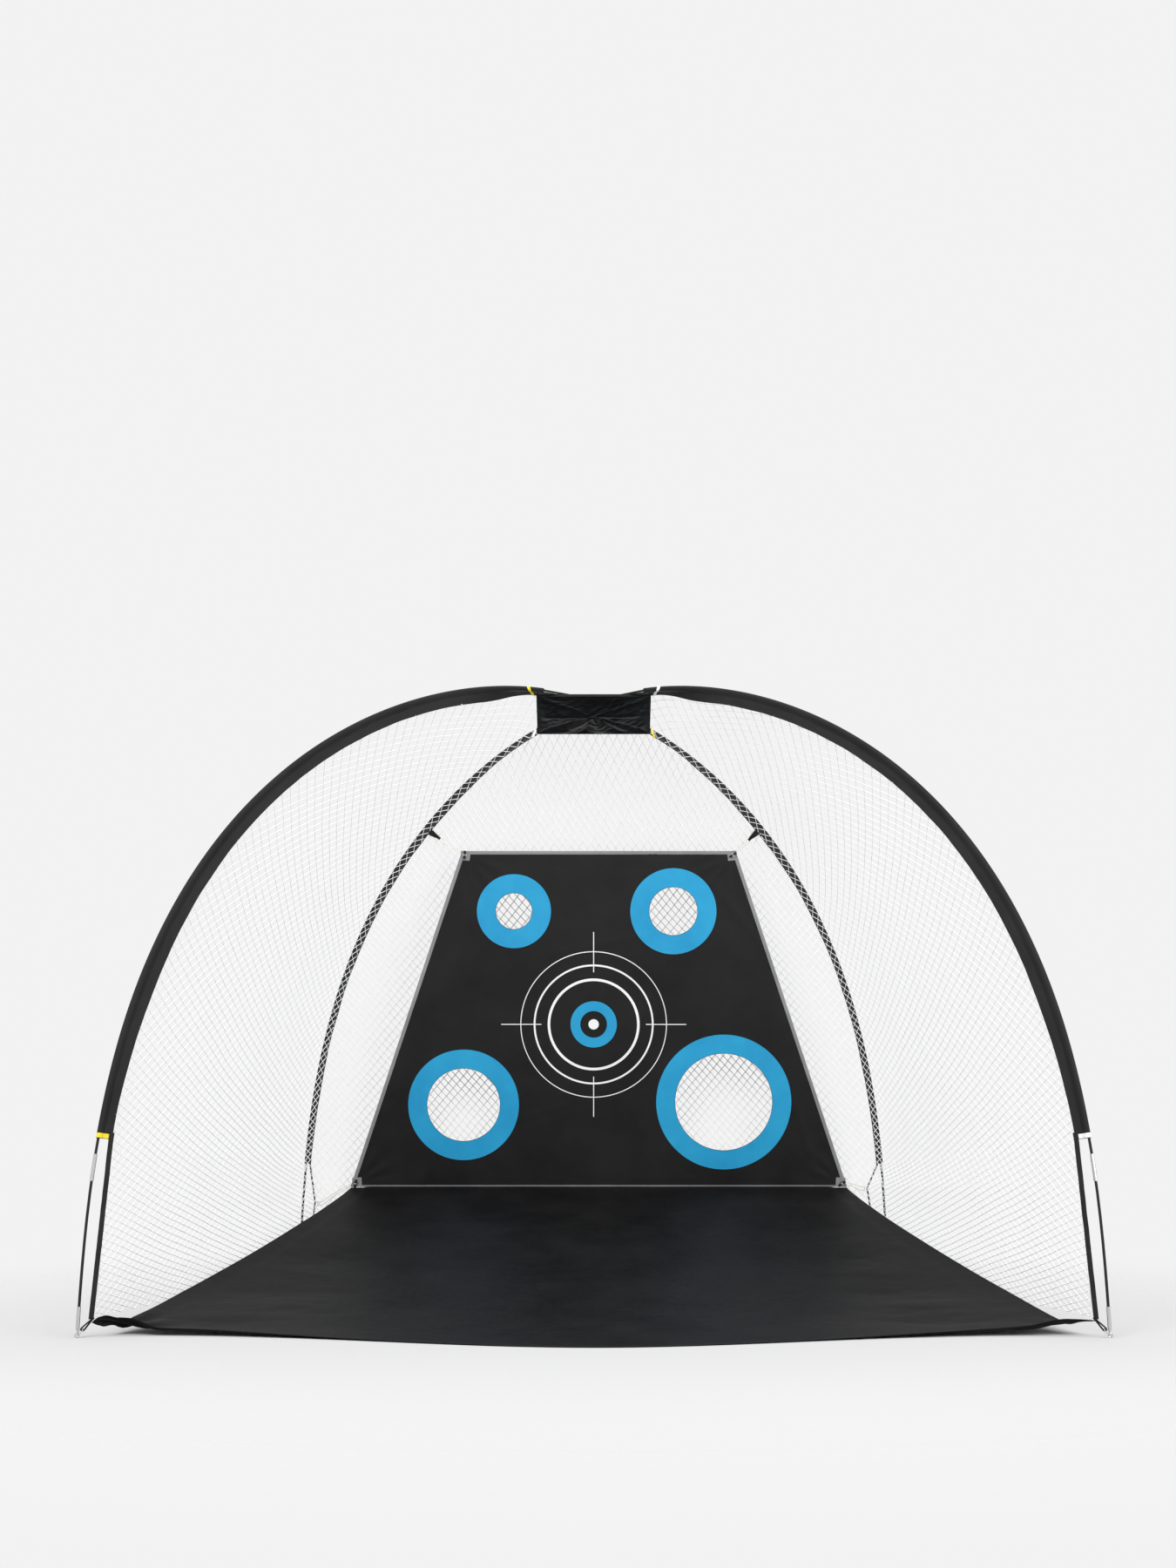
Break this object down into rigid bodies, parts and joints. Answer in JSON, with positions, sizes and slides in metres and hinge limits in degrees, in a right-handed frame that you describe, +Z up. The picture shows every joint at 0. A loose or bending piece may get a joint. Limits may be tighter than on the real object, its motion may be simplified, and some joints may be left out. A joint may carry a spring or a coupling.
{
  "type": "golf chipping net",
  "caption": "Free-standing net dome on crossing flexible poles, with a sloping fabric target hung inside and a ground sheet in front.",
  "frame": {"origin": "middle of the footprint's box, on the ground", "axes": "+X across the mouth to the right as seen from the front, +Z up; the mouth faces -Y"},
  "size_m": [2.8926, 2.1088, 2.1408],
  "materials": {
    "fibreglass": "smooth pultruded rod with a satin resin surface",
    "steel": "drawn and turned steel, bright",
    "elastic": "braided cover over rubber, matt",
    "webbing": "close woven tape, matt",
    "sleeve_fabric": "plain woven polyester with a slight sheen",
    "target_fabric": "satin polyester sheet, lightly creased",
    "binding": "grosgrain tape, satin",
    "netting": "knotless mesh of fine white strands",
    "toggle_plastic": "moulded, semi-gloss",
    "yellow_webbing": "woven tape, matt",
    "white_webbing": "woven tape, matt"
  },
  "bodies": {
    "root": {"back_net": "netting", "crossing_patch": "sleeve_fabric", "front_left_corner_loop": "webbing", "front_left_lower_tab": "yellow_webbing", "front_left_pin": "steel", "front_left_pole_tip": "steel", "front_left_sleeve": "sleeve_fabric", "front_left_upper_tab": "yellow_webbing", "front_right_corner_loop": "webbing", "front_right_lower_tab": "white_webbing", "front_right_pin": "steel", "front_right_pole_tip": "steel", "front_right_sleeve": "sleeve_fabric", "front_right_upper_tab": "white_webbing", "ground_sheet": "target_fabric", "left_net": "netting", "left_webbing_tab": "webbing", "lower_left_elastic_cord": "elastic", "lower_right_elastic_cord": "elastic", "rear_left_corner_loop": "webbing", "rear_left_pin": "steel", "rear_left_pole_tip": "steel", "rear_left_sleeve": "sleeve_fabric", "rear_left_tab": "white_webbing", "rear_right_corner_loop": "webbing", "rear_right_pin": "steel", "rear_right_pole_tip": "steel", "rear_right_sleeve": "sleeve_fabric", "rear_right_tab": "yellow_webbing", "right_net": "netting", "right_webbing_tab": "webbing", "upper_left_elastic_cord": "elastic", "upper_right_elastic_cord": "elastic", "white_pole_front_ferrule": "steel", "white_pole_front_leg": "fibreglass", "white_pole_rear_ferrule": "steel", "white_pole_rear_leg": "fibreglass", "white_pole_shock_cord": "elastic", "white_pole_span": "fibreglass", "yellow_pole_front_ferrule": "steel", "yellow_pole_front_leg": "fibreglass", "yellow_pole_rear_ferrule": "steel", "yellow_pole_rear_leg": "fibreglass", "yellow_pole_shock_cord": "elastic", "yellow_pole_span": "fibreglass"},
    "target": {"lower_left_eyelet": "steel", "lower_right_eyelet": "steel", "target_binding": "binding", "target_sheet": "target_fabric", "upper_left_eyelet": "steel", "upper_right_eyelet": "steel"},
    "front_left_ring_body": {"front_left_ring": "steel"},
    "front_right_ring_body": {"front_right_ring": "steel"},
    "lower_left_toggle_bar": {"lower_left_toggle": "toggle_plastic"},
    "lower_right_toggle_bar": {"lower_right_toggle": "toggle_plastic"},
    "rear_left_ring_body": {"rear_left_ring": "steel"},
    "rear_right_ring_body": {"rear_right_ring": "steel"},
    "upper_left_toggle_bar": {"upper_left_toggle": "toggle_plastic"},
    "upper_right_toggle_bar": {"upper_right_toggle": "toggle_plastic"}
  },
  "joints": [
    {"name": "target_swing", "type": "hinge", "parent": "root", "child": "target", "pos_m": [0, 0.65266, 1.68], "axis": [1, 0, 0], "range_deg": [-5, 2], "stiffness_Nm_per_rad": 60, "springref_deg": 1.15, "deforming": ["lower_left_elastic_cord", "lower_right_elastic_cord", "upper_left_elastic_cord", "upper_right_elastic_cord", "ground_sheet"]},
    {"name": "front_left_ring_turn", "type": "hinge", "parent": "root", "child": "front_left_ring_body", "pos_m": [-1.44, -0.82434, 0.0074], "axis": [0.5734, 0.4138, 0.7071], "range_deg": [-15, 15]},
    {"name": "front_right_ring_turn", "type": "hinge", "parent": "root", "child": "front_right_ring_body", "pos_m": [1.44, -0.82434, 0.0074], "axis": [-0.5734, 0.4138, 0.7071], "range_deg": [-15, 15]},
    {"name": "lower_left_toggle_turn", "type": "hinge", "parent": "target", "child": "lower_left_toggle_bar", "pos_m": [-0.9272, 0.92238, 0.37798], "axis": [0, -0.9729, -0.2312], "range_deg": [-80, 80]},
    {"name": "lower_right_toggle_turn", "type": "hinge", "parent": "target", "child": "lower_right_toggle_bar", "pos_m": [0.9672, 0.92238, 0.37798], "axis": [0, -0.9729, -0.2312], "range_deg": [-80, 80]},
    {"name": "rear_left_ring_turn", "type": "hinge", "parent": "root", "child": "rear_left_ring_body", "pos_m": [-1.1535, 1.04766, 0.0074], "axis": [0.5734, -0.4138, 0.7071], "range_deg": [-15, 15]},
    {"name": "rear_right_ring_turn", "type": "hinge", "parent": "root", "child": "rear_right_ring_body", "pos_m": [1.1535, 1.04766, 0.0074], "axis": [-0.5734, -0.4138, 0.7071], "range_deg": [-15, 15]},
    {"name": "upper_left_toggle_turn", "type": "hinge", "parent": "target", "child": "upper_left_toggle_bar", "pos_m": [-0.50118, 0.62632, 1.62379], "axis": [0, -0.9729, -0.2312], "range_deg": [-80, 80]},
    {"name": "upper_right_toggle_turn", "type": "hinge", "parent": "target", "child": "upper_right_toggle_bar", "pos_m": [0.54118, 0.62632, 1.62379], "axis": [0, -0.9729, -0.2312], "range_deg": [-80, 80]}
  ]
}
